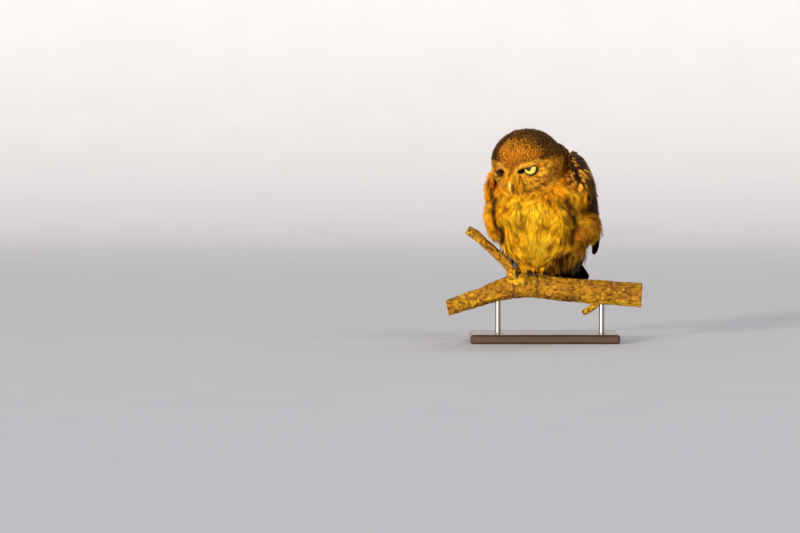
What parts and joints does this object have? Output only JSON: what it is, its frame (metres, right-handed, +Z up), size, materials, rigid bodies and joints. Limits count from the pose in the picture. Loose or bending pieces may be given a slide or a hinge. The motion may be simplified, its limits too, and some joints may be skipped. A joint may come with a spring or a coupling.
{
  "type": "little owl model",
  "caption": "Still life-size little owl gripping a cut length of branch, head lowered and turned, on a flat base with two short rods.",
  "frame": {"origin": "centre of the underside of the display base, on the surface that it stands on", "axes": "+Z up, +X along the branch to the right as seen from the front, the bird faces -Y turned a little towards -X"},
  "size_m": [0.2129, 0.1409, 0.2325],
  "materials": {
    "plumage_body": "soft matte feathers",
    "plumage_head": "soft matte feathers",
    "plumage_wing": "firm matte flight feathers with a faint sheen",
    "plumage_tail": "firm matte feathers",
    "plumage_leg": "hair-like short feathers",
    "skin_foot": "dull bristled skin",
    "horn_claw": "polished dark horn",
    "horn_bill": "satin horn",
    "eye": "wet, glossy",
    "bark": "rough bark with lichen",
    "stand_base": "satin lacquered",
    "stand_rod": "brushed"
  },
  "bodies": {
    "root": {"beak_lower": "horn_bill", "beak_upper": "horn_bill", "claw_left_1": "horn_claw", "claw_left_2": "horn_claw", "claw_left_3": "horn_claw", "claw_left_4": "horn_claw", "claw_right_1": "horn_claw", "claw_right_2": "horn_claw", "claw_right_3": "horn_claw", "claw_right_4": "horn_claw", "eye_left": "eye", "eye_right": "eye", "foot_left": "skin_foot", "foot_right": "skin_foot", "head": "plumage_head", "leg_left": "plumage_leg", "leg_right": "plumage_leg", "perch": "bark", "stand_base": "stand_base", "stand_rod_left": "stand_rod", "stand_rod_right": "stand_rod", "tail": "plumage_tail", "torso": "plumage_body", "wing_left": "plumage_wing", "wing_right": "plumage_wing"}
  },
  "joints": []
}
